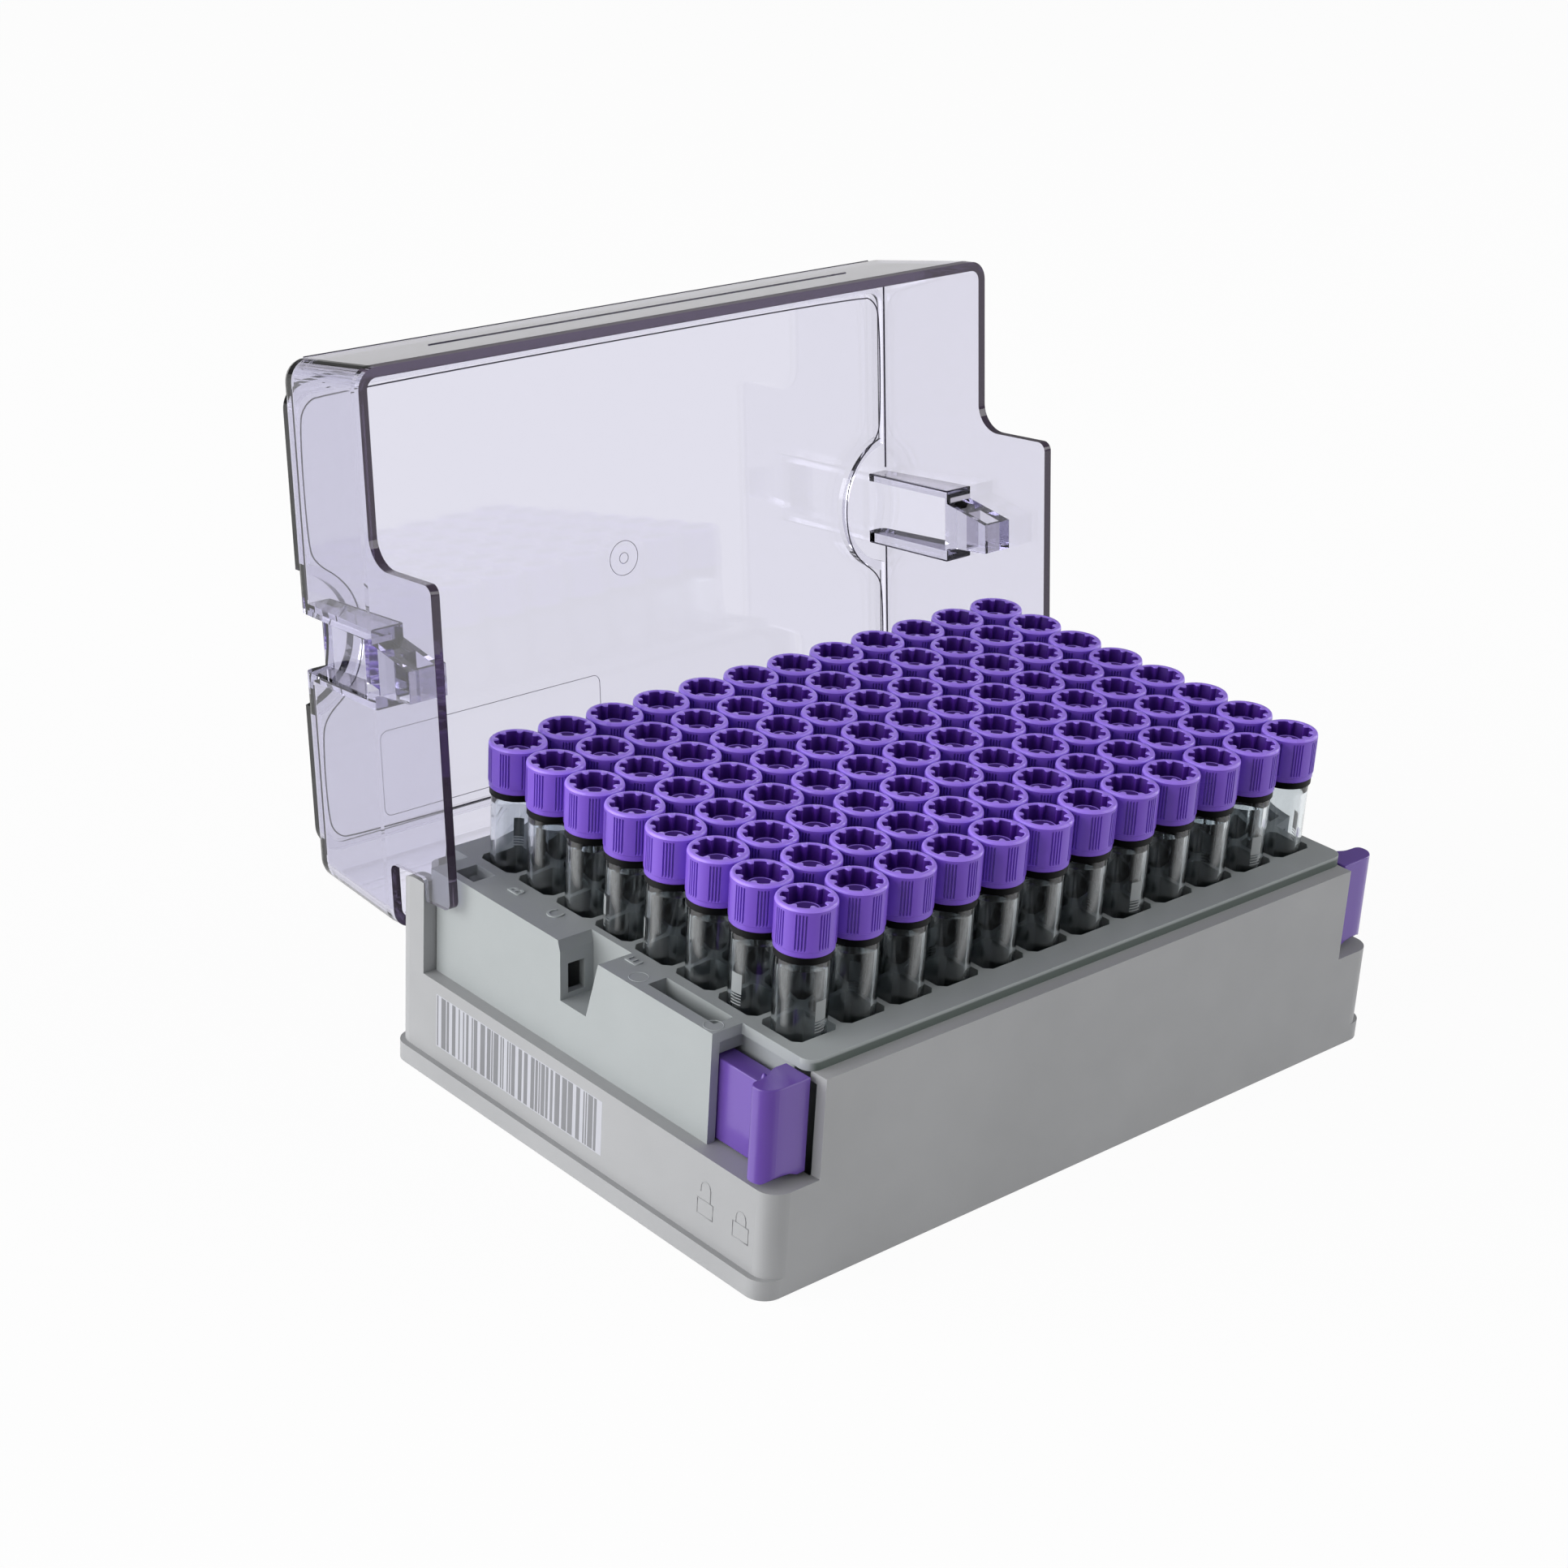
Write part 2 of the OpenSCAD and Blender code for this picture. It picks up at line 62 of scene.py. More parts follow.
def make_camera():
    back = Vector((
        math.sin(CAM_AZ) * math.cos(CAM_EL), -math.cos(CAM_AZ) * math.cos(CAM_EL), math.sin(CAM_EL),
    ))
    forward = -back
    right = forward.cross(Vector((0, 0, 1))).normalized()
    down = forward.cross(right)
    c, s = math.cos(CAM_ROLL), math.sin(CAM_ROLL)
    right, down = right * c + down * s, down * c - right * s
    turn = Matrix((right, -down, back)).transposed().to_4x4()
    data = bpy.data.cameras.new("camera")
    data.sensor_width = SENSOR
    data.lens = FOCAL_PX * SENSOR / PHOTO_PX
    data.clip_start, data.clip_end = CLIP_START, CLIP_END
    cam = bpy.data.objects.new("camera", data)
    bpy.context.scene.collection.objects.link(cam)
    cam.matrix_world = Matrix.Translation(Vector(CAM_AT) * MM) @ turn
    bpy.context.scene.camera = cam


# Node trees
class Tree:
    """A short way to add nodes. Where a value is expected, a socket can stand, which is then linked."""

    def __init__(self, tree):
        self.tree = tree
        tree.nodes.clear()

    def put(self, slot, value):
        if isinstance(value, bpy.types.NodeSocket):
            self.tree.links.new(value, slot)
        else:
            slot.default_value = value

    def feed(self, node, **values):
        """Gives a node's inputs their values by name, with _ for each space."""
        for name, value in values.items():
            self.put(node.inputs[name.replace("_", " ")], value)

    def add(self, kind, **values):
        node = self.tree.nodes.new(kind)
        self.feed(node, **values)
        return node

    def fill(self, kind, *values):
        """Adds a node whose inputs take these values in order."""
        node = self.tree.nodes.new(kind)
        for slot, value in zip(node.inputs, values):
            self.put(slot, value)
        return node

    def calc(self, operation, *values):
        node = self.fill("ShaderNodeMath", *values)
        node.operation = operation
        return node.outputs[0]

    def vector_calc(self, operation, *values):
        node = self.fill("ShaderNodeVectorMath", *values)
        node.operation = operation
        return node.outputs["Value" if operation == "DOT_PRODUCT" else "Vector"]

    def map_range(self, value, low, high, to_low, to_high, kind="LINEAR"):
        node = self.fill("ShaderNodeMapRange", value, low, high, to_low, to_high)
        node.interpolation_type = kind
        return node.outputs[0]


class Look(Tree):
    """A material with one main shader, and patterns in the object's own coordinates."""

    RAMP_AT = (0.3, 0.7)

    def __init__(self, name):
        self.material = bpy.data.materials.new(name)
        self.material.use_nodes = True
        super().__init__(self.material.node_tree)
        self.shader = self.add("ShaderNodeBsdfPrincipled")
        self.out = self.add("ShaderNodeOutputMaterial", Surface=self.shader.outputs[0])
        self.place = self.add("ShaderNodeTexCoord").outputs["Object"]

    def set(self, **values):
        """Gives inputs of the main shader their values."""
        self.feed(self.shader, **values)
        return self

    def noise(self, scale, detail, rough=0.5):
        node = self.add("ShaderNodeTexNoise", Vector=self.place, Scale=scale, Detail=detail, Roughness=rough)
        return node.outputs["Fac"]

    def ramp(self, value, low, high):
        """Colours or greys from low to high along a noise."""
        node = self.add("ShaderNodeValToRGB", Fac=value)
        for element, at, colour in zip(node.color_ramp.elements, self.RAMP_AT, (low, high)):
            element.position = at
            element.color = (*colour, 1) if hasattr(colour, "__len__") else (colour, colour, colour, 1)
        return node.outputs["Color"]

    def bump(self, height, distance, strength):
        node = self.add("ShaderNodeBump", Height=height, Distance=distance, Strength=strength)
        return node.outputs["Normal"]


# Materials
# The lid's painted shade: its face attribute, the mark from which faces grow less clear, and how clear they
# get
EDGE_MARK = "edge"  # the lid's face attribute
EDGE_SOLID_FROM, EDGE_CLEARNESS = 0.8, 0.45
CLOUDS, GLOSS, GRAIN, HAZE, WAVES = 40, 220, 5200, 60, 70  # scales of the noises
# The insert's shaded step, in metres: where it begins and where it is full, outward and downward
STEP_OUT, STEP_DOWN = (0.0396, 0.0402), (0.0329, 0.0326)


def linear(*rgb):
    """A colour written as 0 to 255 sRGB, as Blender's linear values."""
    return tuple(c / 255 / 12.92 if c <= 10.3 else ((c / 255 + 0.055) / 1.055) ** 2.4 for c in rgb)


def moulded(name, colour, rough, spread=0.04, grain=0.00002):
    """Moulded plastic: faint cloudy colour, fine spark-eroded grain, uneven gloss."""
    look = Look(name)
    low = tuple(c * (1 - spread) for c in colour)
    high = tuple(min(1, c * (1 + spread)) for c in colour)
    return look.set(
        Base_Color=look.ramp(look.noise(CLOUDS, 3), low, high),
        Roughness=look.ramp(look.noise(GLOSS, 3), rough - 0.05, rough + 0.06),
        Normal=look.bump(look.noise(GRAIN, 2, 0.6), grain, 0.7),
    )


def shaded_rim(look):
    """Darkens the low step of the insert's front and rear edges, which stands in the frame's shade."""
    place = look.add("ShaderNodeSeparateXYZ", Vector=look.place).outputs
    out = look.map_range(look.calc("ABSOLUTE", place["Y"]), *STEP_OUT, 0.0, 1.0)
    down = look.map_range(place["Z"], *STEP_DOWN, 0.0, 1.0)
    plain = look.shader.inputs["Base Color"].links[0].from_socket
    shade = (*linear(92, 102, 98), 1)
    mix = look.fill("ShaderNodeMixRGB", look.calc("MULTIPLY", out, down), plain, shade)
    return look.set(Base_Color=mix.outputs[0])


def clear(name, tint, rough, ior, absorb, density, wave):
    """Clear plastic: tinted, darker with depth, with a faint haze and the slow waves of a moulded face."""
    look = Look(name)
    volume = look.add("ShaderNodeVolumeAbsorption", Color=(*absorb, 1), Density=density)
    look.feed(look.out, Volume=volume.outputs[0])
    return look.set(
        Base_Color=(*tint, 1), IOR=ior, Transmission_Weight=1.0,
        Roughness=look.ramp(look.noise(HAZE, 2), rough, rough + 0.03),
        Normal=look.bump(look.noise(WAVES, 1), wave, 0.5),
    )


def painted_shade_faces(look):
    """Paints shade on the faces of the lid that its attribute marks, a darker grey violet for the dark that
    refraction shows at the real lid's edges, and makes the strongest marked less clear.
    """
    attribute = look.add("ShaderNodeAttribute")
    attribute.attribute_name = EDGE_MARK
    mark = attribute.outputs["Fac"]
    plain = look.shader.inputs["Base Color"].default_value
    # The painted shade's colour, a darker grey violet
    mix = look.fill("ShaderNodeMixRGB", mark, plain, (*linear(96, 82, 104), 1))
    clearness = look.map_range(mark, EDGE_SOLID_FROM, 1.0, 1.0, EDGE_CLEARNESS)
    return look.set(Base_Color=mix.outputs[0], Transmission_Weight=clearness)


def make_materials():
    lid = clear("lid_clear", linear(235, 234, 245), 0.01, 1.5, (0.3, 0.28, 0.48), 68, 0.00002)
    looks = {
        "frame": moulded("frame_plastic", linear(166, 167, 169), 0.5),
        "insert": shaded_rim(moulded("insert_plastic", linear(164, 169, 170), 0.5)),
        # The edge colours are lighter than their plastics: painted highlight on the rounded edges
        "frame_edge": moulded("frame_edge", linear(178, 179, 181), 0.4),
        "insert_edge": moulded("insert_edge", linear(184, 190, 190), 0.4),
        "grid": moulded("grid_plastic", linear(150, 152, 156), 0.55),
        "cap": moulded("cap_plastic", linear(121, 82, 202), 0.32, 0.07, 0.00001),
        # Lighter violet on the cap's top rim and the recess boss: painted highlight
        "cap_rim": moulded("cap_rim", linear(168, 132, 250), 0.3, 0.05, 0.000006),
        # Darker violet in the drive recess and bore: painted shade
        "cap_inner": moulded("cap_recess_painted_shade", linear(78, 34, 146), 0.4, 0.06, 0.00001),
        "seal": moulded("seal_rubber", linear(5, 5, 7), 0.5).set(Specular_IOR_Level=0.2),
        "code": moulded("code_disc", linear(210, 212, 215), 0.6),
        "lock": moulded("lock_plastic", linear(108, 78, 168), 0.2, 0.04, 0.000004),
        "print": moulded("print_ink", linear(128, 129, 133), 0.6, 0.06),
        "print_ground": moulded("print_ground", linear(190, 191, 199), 0.55, 0.02),
        "patch": moulded("patch_ink", linear(150, 154, 156), 0.5, 0.05),
        "lid": painted_shade_faces(lid),
        # Dark beads on the lid's steps: painted shade, where the real steps look dark by refraction
        "lid_line": moulded("lid_line", linear(70, 66, 82), 0.3, 0.05),
        "lid_faint": moulded("lid_faint", linear(168, 166, 180), 0.3, 0.05),
        "tube": clear("tube_clear", linear(240, 243, 245), 0.0, 1.7, (0.25, 0.45, 0.55), 60, 0.00001),
    }
    return {name: look.material for name, look in looks.items()}


# Meshes
BEAD_SIDES = 6
BEAD_UP = (0, 0.06, 1)
SHARP_ANGLE = math.radians(32)


def add_object(name, data, body):
    """Puts a mesh in the scene, riding on a body."""
    obj = bpy.data.objects.new(name, data)
    bpy.context.scene.collection.objects.link(obj)
    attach(obj, body)
    return obj


def make_piece(name, verts, faces, finish, body, slot, smooth=False, indices=None):
    """A mesh piece from places in millimetres. The finish is its materials, the indices say which is used."""
    data = bpy.data.meshes.new(name)
    data.from_pydata([(x * MM, y * MM, z * MM) for x, y, z in verts], [], faces)
    for material in finish:
        data.materials.append(material)
    if indices:
        data.polygons.foreach_set("material_index", indices)
    data.polygons.foreach_set("use_smooth", [smooth] * len(faces))
    data.validate()
    return add_object(name, data, body)


def add_bevel(obj, width, angle=35):
    bevel = obj.modifiers.new("bevel", "BEVEL")
    bevel.width = width * MM
    bevel.segments = 2
    bevel.limit_method = "ANGLE"
    bevel.angle_limit = math.radians(angle)
    return bevel


def mark_sharp(obj):
    obj.data.set_sharp_from_angle(angle=SHARP_ANGLE)


def join_rings(faces, a, b):
    """Quads between two rings of vertex numbers, the second above or inside the first."""
    n = len(a)
    for i in range(n):
        j = (i + 1) % n
        faces.append((a[i], a[j], b[j], b[i]))


def wide_part(wide, sides, k):
    """The vertices of a ring that lie on side k of one with fewer sides."""
    share = len(wide) // sides
    return [wide[(k * share + i) % len(wide)] for i in range(share + 1)]


def step_rings(faces, wide, narrow):
    """Faces between a ring and one with a whole share of its vertices."""
    sides = len(narrow)
    for k in range(sides):
        faces.append((*wide_part(wide, sides, k), narrow[(k + 1) % sides], narrow[k]))


def extrude(verts, faces, outline, low, high):
    """Adds a closed prism: outline is counterclockwise in x and y."""
    start, n = len(verts), len(outline)
    verts += [(x, y, low) for x, y in outline] + [(x, y, high) for x, y in outline]
    faces.append(tuple(range(start + n - 1, start - 1, -1)))
    faces.append(tuple(range(start + n, start + 2 * n)))
    for i in range(n):
        j = (i + 1) % n
        faces.append((start + i, start + j, start + n + j, start + n + i))


def add_dome(verts, faces, x, y, z, radius, rise, sides=12, steps=5):
    rings = []
    for k in range(steps):
        tilt = math.pi / 2 * k / steps
        rings.append([len(verts) + i for i in range(sides)])
        for i in range(sides):
            turn = math.tau * i / sides
            verts.append((
                x + radius * math.cos(tilt) * math.cos(turn),
                y + radius * math.cos(tilt) * math.sin(turn),
                z + rise * math.sin(tilt),
            ))
    for a, b in zip(rings, rings[1:]):
        join_rings(faces, a, b)
    faces += [tuple(rings[-1]), tuple(reversed(rings[0]))]


def circle(x, y, radius, sides):
    turns = [math.tau * k / sides for k in range(sides)]
    return [(x + radius * math.cos(turn), y + radius * math.sin(turn)) for turn in turns]


def smooth_path(points, rounds=2, closed=False):
    """Cuts the corners off a path, which rounds it."""
    for _ in range(rounds):
        pairs = list(zip(points, points[1:] + points[:1] if closed else points[1:]))
        cut = []
        for p, q in pairs:
            cut.append(tuple(0.75 * a + 0.25 * b for a, b in zip(p, q)))
            cut.append(tuple(0.25 * a + 0.75 * b for a, b in zip(p, q)))
        points = cut if closed else [points[0]] + cut + [points[-1]]
    return points


def bead(verts, faces, path, radius, closed=True):
    """Adds a thin round bead along a path of points."""
    rings = []
    n = len(path)
    for i, point in enumerate(path):
        here = Vector(point)
        before = Vector(path[i - 1] if closed or i else path[0])
        after = Vector(path[(i + 1) % n] if closed or i < n - 1 else path[-1])
        along = (after - before).normalized()
        side = along.cross(Vector(BEAD_UP)).normalized()
        if side.length < 0.5:  # the path runs along BEAD_UP itself
            side = Vector((1, 0, 0))
        up = side.cross(along)
        ring = []
        for k in range(BEAD_SIDES):
            turn = math.tau * k / BEAD_SIDES
            ring.append(len(verts))
            verts.append(tuple(here + (side * math.cos(turn) + up * math.sin(turn)) * radius))
        rings.append(ring)
    for a, b in zip(rings, rings[1:] + rings[:1] if closed else rings[1:]):
        join_rings(faces, a, b)
    if not closed:
        faces += [tuple(reversed(rings[0])), tuple(rings[-1])]


# Caps, with angles in degrees. Each sector of a cap has four grooves and a tooth of the drive recess, and
# GROOVE and TOOTH give the share of their depth at angles from their middle
SECTORS, SECTOR = 8, 45.0
GROOVES = (-9.0, -3.0, 3.0, 9.0)
GROOVE, GROOVE_DEPTH = {-1.8: 0.0, -0.9: 1.0, 0.9: 1.0, 1.8: 0.0}, 0.28
TOOTH_AT = 22.5
TOOTH = {-8.0: 0.0, -5.5: 0.75, -2.2: 1.0, 2.2: 1.0, 5.5: 0.75, 8.0: 0.0}
LOBE_R, TOOTH_FOOT, TOOTH_IN = 3.58, 0.08, 0.66
SINGLE_CAP_TURN = -95

# Outside, from below: height, radius, and how much of the grooves' depth there is
CAP_RINGS = (
    (CAP_LOW, 4.06, 0), (45.34, 4.2, 0), (46.02, 4.2, 0), (46.14, 4.31, 0), (46.3, CAP_R, 0),
    (46.62, CAP_R, 1), (51.3, CAP_R, 1), (51.62, CAP_R, 0), (51.95, 4.3, 0), (52.2, 4.22, 0),
    (52.34, 4.1, 0), (CAP_TOP, 3.93, 0),
)
# Recess, from above: height, and how much wider than its outline; then its floor with the boss; then the bore
CAP_INNER = ((CAP_TOP, 0.14), (52.35, 0.04), (52.2, 0.0), (50.1, -0.06))
CAP_FLOOR = ((49.95, 2.6), (49.95, 2.1), (50.55, 2.02), (50.62, 1.95), (50.55, 1.86), (50.4, 1.5))
CAP_BORE = ((CAP_LOW, 3.3), (48.8, 3.25), (48.95, 3.1))
# The cap's materials: its plain colour, the lighter painted highlight, and the darker painted shade of the
# recess
CAP_SIDE, CAP_HIGHLIGHT, CAP_SHADE = 0, 1, 2  # numbers of the cap's materials
# The top rim's bands and the boss on the recess floor take the lighter painted highlight
RIM_FIRST, RIM_LAST = 8, 13  # bands between rings that have the rim's material
BOSS_FIRST, BOSS_LAST = 3, 4  # the same on the floor


def cap_samples():
    """Angles round a cap, with how deep a groove is there and the drive recess's radius."""
    found = []
    for sector in range(SECTORS):
        middle = sector * SECTOR
        for groove in GROOVES:
            for turn, depth in GROOVE.items():
                found.append((middle + groove + turn, depth, LOBE_R))
        for turn, share in TOOTH.items():
            found.append((middle + TOOTH_AT + turn, 0.0, LOBE_R - TOOTH_FOOT - TOOTH_IN * share))
    return found


def add_cap(verts, faces, looks, x, y, turn):
    """Adds a cap, and the number of each face's material."""
    samples = [(math.radians(angle) + turn, groove, recess) for angle, groove, recess in cap_samples()]
    few = samples[::2]

    def ring(points, z, radii):
        start = len(verts)
        for (angle, _, _), r in zip(points, radii):
            verts.append((x + r * math.cos(angle), y + r * math.sin(angle), z))
        return list(range(start, start + len(points)))

    rings = []
    for z, r, share in CAP_RINGS:
        rings.append(ring(samples, z, [r - GROOVE_DEPTH * groove * share for _, groove, _ in samples]))
    for z, wider in CAP_INNER:
        rings.append(ring(samples, z, [recess + wider for _, _, recess in samples]))
    for k, (a, b) in enumerate(zip(rings, rings[1:])):
        join_rings(faces, a, b)
        look = CAP_SIDE if k < RIM_FIRST else CAP_HIGHLIGHT if k <= RIM_LAST else CAP_SHADE
        looks += [look] * len(samples)

    sides = len(few)
    floor_start = len(faces)
    floor = [ring(few, z, [r] * sides) for z, r in CAP_FLOOR]
    step_rings(faces, rings[-1], floor[0])
    for a, b in zip(floor, floor[1:]):
        join_rings(faces, a, b)
    faces.append(tuple(floor[-1]))
    bore = [ring(few, z, [r] * sides) for z, r in CAP_BORE]
    for k in range(sides):
        part = wide_part(rings[0], sides, k)
        faces.append((bore[0][k], bore[0][(k + 1) % sides], *reversed(part)))
    for a, b in zip(bore, bore[1:]):
        join_rings(faces, b, a)
    faces.append(tuple(reversed(bore[-1])))
    looks += [CAP_SHADE] * (len(faces) - floor_start)
    for k in range(floor_start + sides * BOSS_FIRST, floor_start + sides * (BOSS_LAST + 1)):
        looks[k] = CAP_HIGHLIGHT


def tube_place(row, column):
    return (column - (COLUMNS + 1) / 2) * PITCH, ((ROWS - 1) / 2 - row) * PITCH


def finish_cap(verts, faces, looks, node, body, materials):
    """Makes a piece of caps, which takes the place of a CAD node."""
    finish = [materials["cap"], materials["cap_rim"], materials["cap_inner"]]
    caps = make_piece(node + "_look", verts, faces, finish, body, "cap", True, looks)
    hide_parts(node)
    mark_sharp(caps)


def make_caps(materials):
    rng = random.Random(7)
    for row, letter in enumerate(ROW_LETTERS):
        many = [], [], []
        for column in range(1, COLUMNS + 1):
            x, y = tube_place(row, column)
            turn = rng.uniform(0, math.tau)
            if (row, column) == SINGLE:
                single = [], [], []
                add_cap(*single, x, y, math.radians(SINGLE_CAP_TURN))
                finish_cap(*single, "cap_h1", "cap_h1", materials)
            else:
                add_cap(*many, x, y, turn)
        finish_cap(*many, f"caps_row_{letter}", f"tubes_{letter}", materials)


# Write-on patches, with half widths in radians. A turn in degrees says where on its tube a patch is
PATCH_LOW, PATCH_HIGH, PATCH_HALF = 35.4, 38.4, 0.25
PATCH_LIFT, PATCH_STEPS = 0.02, 8
PATCH_LINES, LINE_PITCH, LINE_LOW, LINE_HIGH, LINE_SHARE = 4, 0.45, 0.36, 0.2, 0.96
PATCH_TURNS = {(7, 1): -86, (6, 1): -176, (7, 11): -98, (7, 8): -98}


def add_patch(verts, faces, x, y, turn):
    """A write-on patch printed on a tube, with four short lines under it."""
    bands = [(PATCH_LOW, PATCH_HIGH, PATCH_HALF)]
    for k in range(PATCH_LINES):
        top = PATCH_LOW - LINE_PITCH * k
        bands.append((top - LINE_LOW, top - LINE_HIGH, PATCH_HALF * LINE_SHARE))
    r = TUBE_R + PATCH_LIFT
    for low, high, half in bands:
        start = len(verts)
        for i in range(PATCH_STEPS + 1):
            angle = turn + half * (2 * i / PATCH_STEPS - 1)
            for z in (low, high):
                verts.append((x + r * math.cos(angle), y + r * math.sin(angle), z))
        for a in range(start, start + 2 * PATCH_STEPS, 2):
            faces.append((a, a + 2, a + 3, a + 1))


def make_patches(materials):
    rng = random.Random(11)
    finish = [materials["patch"]]
    for row, letter in enumerate(ROW_LETTERS):
        many = [], []
        for column in range(1, COLUMNS + 1):
            turn = PATCH_TURNS.get((row, column), rng.uniform(-40, 150))
            place = tube_place(row, column)
            if (row, column) == SINGLE:
                single = [], []
                add_patch(*single, *place, math.radians(turn))
                make_piece("patch_h1", *single, finish, "tube_h1", "tube", True)
            else:
                add_patch(*many, *place, math.radians(turn))
        make_piece(f"patches_row_{letter}", *many, finish, f"tubes_{letter}", "tube", True)


# The left lock: the finger block's rounded and flat outline, the slab behind it, its bar and a nub
LOCK_CURVE = (
    (-56.6, -35.85), (-57.6, -35.8), (-58.8, -36.3), (-60.0, -37.0), (-61.4, -37.15), (-62.4, -37.15),
    (-63.1, -37.6), (-63.25, -38.4), (-63.1, -39.3), (-62.5, -40.1), (-61.7, -40.6), (-60.9, -40.8),
)
LOCK_FLAT = ((-59.6, -40.8), (-58.2, -40.8), (-56.9, -40.8), (-55.5, -40.8), (-55.5, -35.85))
LOCK_LOW, LOCK_HIGH = 17.0, 31.3
ARCH_X, ARCH_HALF, ARCH_RISE = -59.6, 3.0, 1.0
ARCH_INNER_Y, ARCH_INNER_SHARE = -39, 0.4
SLAB = ((-59.0, -38.0), (-55.5, -38.0), (-55.5, -24.0), (-59.0, -24.0))
SLAB_LOW, SLAB_HIGH = 16.5, 28.9
BAR = ((-58.8, -25.0), (-56.8, -25.0), (-56.8, -2.0), (-57.4, -1.3), (-58.2, -1.3), (-58.8, -2.0))
BAR_LOW = 25.3
LOCK_BEVEL, LOCK_BEVEL_ANGLE = 0.22, 40
NUB_AT, NUB_R, NUB_RISE = (-58.5, -35.0, 28.8), 0.5, 1.6


def make_lock(name, body, side, materials):
    """A sliding lock: a flat slab with its bar, and a rounded finger block with an arched foot."""
    verts, faces = [], []
    extrude(verts, faces, smooth_path(list(LOCK_CURVE)) + list(LOCK_FLAT), LOCK_LOW, LOCK_HIGH)
    for i, (x, y, z) in enumerate(verts):
        if z == LOCK_LOW:
            share = max(0.0, 1 - ((x - ARCH_X) / ARCH_HALF) ** 2)
            inner = ARCH_INNER_SHARE if y > ARCH_INNER_Y else 1.0
            verts[i] = (x, y, z + ARCH_RISE * share * inner)
    extrude(verts, faces, SLAB, SLAB_LOW, SLAB_HIGH)
    extrude(verts, faces, BAR, BAR_LOW, SLAB_HIGH)
    add_dome(verts, faces, *NUB_AT, NUB_R, NUB_RISE)
    if side > 0:
        verts = [(-x, y, z) for x, y, z in verts]
        faces = [tuple(reversed(face)) for face in faces]
    obj = make_piece(name + "_look", verts, faces, [materials["lock"]], body, "lock", True)
    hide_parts(name)
    mark_sharp(obj)
    add_bevel(obj, LOCK_BEVEL, LOCK_BEVEL_ANGLE)


# Lid. Its places are those of the closed lid, in millimetres
RIM_Z, RIM_MIDDLE_Z = 33.7, 31
FLAP_RIM_X, GRIP_X, GRIP_OUT_X = 60.4, 50, 60.2
GRIP_FRONT, GRIP_BACK, GRIP_TOP = -9, 14, 51.5
WALL_X, WALL_Y = 58, -38
# How strongly each kind of face takes the painted shade
RIM_MARK, GRIP_MARK, FRONT_MARK, FLAP_MARK = 1.0, 0.45, 0.6, 0.08
ALONG, ACROSS, UP = 0.9, 0.5, 0.3  # limits of a normal's part along an axis
LID_MERGE = 0.000003  # in metres
LID_FLAT, LID_BEVEL = math.radians(1.0), 0.2


def opened(x, y, z):
    """Where a point of the closed lid is when the lid stands open."""
    s, c = math.sin(OPEN_TILT), math.cos(OPEN_TILT)
    dy, dz = y - PIVOT_Y, z - PIVOT_Z
    return x, PIVOT_Y - dy * s + dz * c, PIVOT_Z - dy * c - dz * s


def shut(x, y, z):
    """The direction that a direction on the open lid has when the lid is closed."""
    s, c = math.sin(OPEN_TILT), math.cos(OPEN_TILT)
    return Vector((x, -y * s - z * c, y * c - z * s))


def shut_place(x, y, z):
    """Where a point of the open lid is when the lid is closed, from metres to millimetres."""
    s, c = math.sin(OPEN_TILT), math.cos(OPEN_TILT)
    dy, dz = y / MM - PIVOT_Y, z / MM - PIVOT_Z
    return Vector((x / MM, PIVOT_Y - dy * s - dz * c, PIVOT_Z + dy * c - dz * s))


def lid_mark(places, normal):
    """How strongly a face of the lid takes the painted shade."""
    middle = sum(places, Vector()) / len(places)
    out = abs(middle.x)
    across = abs(normal.x) < ACROSS
    at_rim = min(abs(p.x) for p in places) > FLAP_RIM_X or middle.z > RIM_MIDDLE_Z and out < GRIP_X
    if max(p.z for p in places) < RIM_Z and across and normal.z < UP and at_rim:
        return RIM_MARK
    if GRIP_X < out < GRIP_OUT_X and GRIP_FRONT < middle.y < GRIP_BACK and middle.z < GRIP_TOP and across:
        return GRIP_MARK
    if abs(normal.y) > ALONG and middle.y < WALL_Y:
        return FRONT_MARK
    return FLAP_MARK if abs(normal.x) > ALONG and out > WALL_X else 0.0


def make_lid(materials):
    data = NODES["lid"].data.copy()
    data.materials.clear()
    data.materials.append(materials["lid"])
    bm = bmesh.new()
    bm.from_mesh(data)
    mark = bm.faces.layers.float.new(EDGE_MARK)
    bmesh.ops.remove_doubles(bm, verts=bm.verts, dist=LID_MERGE)
    bmesh.ops.dissolve_limit(bm, angle_limit=LID_FLAT, verts=bm.verts, edges=bm.edges)
    for face in bm.faces:
        face[mark] = lid_mark([shut_place(*v.co) for v in face.verts], shut(*face.normal))
        face.smooth = False
    bm.to_mesh(data)
    bm.free()
    obj = add_object("lid_shell", data, "lid")
    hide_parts("lid")
    add_bevel(obj, LID_BEVEL)


# Fine steps of the lid. The panel's outline is that of its right half
INNER_TOP_Z = 52.9
PANEL_SIDE = (
    (58.4, 31.0), (58.4, 18.0), (57.4, 14.6), (53.0, 11.4), (50.6, 7.4), (50.0, 2.4), (50.6, -2.4),
    (53.0, -6.4), (57.4, -9.6), (58.4, -12.8), (58.4, -31.0), (57.2, -33.8), (54.4, -35.0),
)
PANEL_BACK = ((-57.2, 33.8), (-54.4, 35.0), (54.4, 35.0), (57.2, 33.8))
CORNER_X, CORNER_Z, CORNER_RUNS = 59.35, 52.75, ((-36.5, -4.4), (9.0, 36.5))
STRIP_LINES = ((-40.55, 54.15, 57.0), (-41.6, 43.5, 42.0))  # y, z and half length
GRIP_EDGE_X, GRIP_EDGES_Y, GRIP_EDGE_LOW = 55.55, (-3.75, 8.35), 33.7
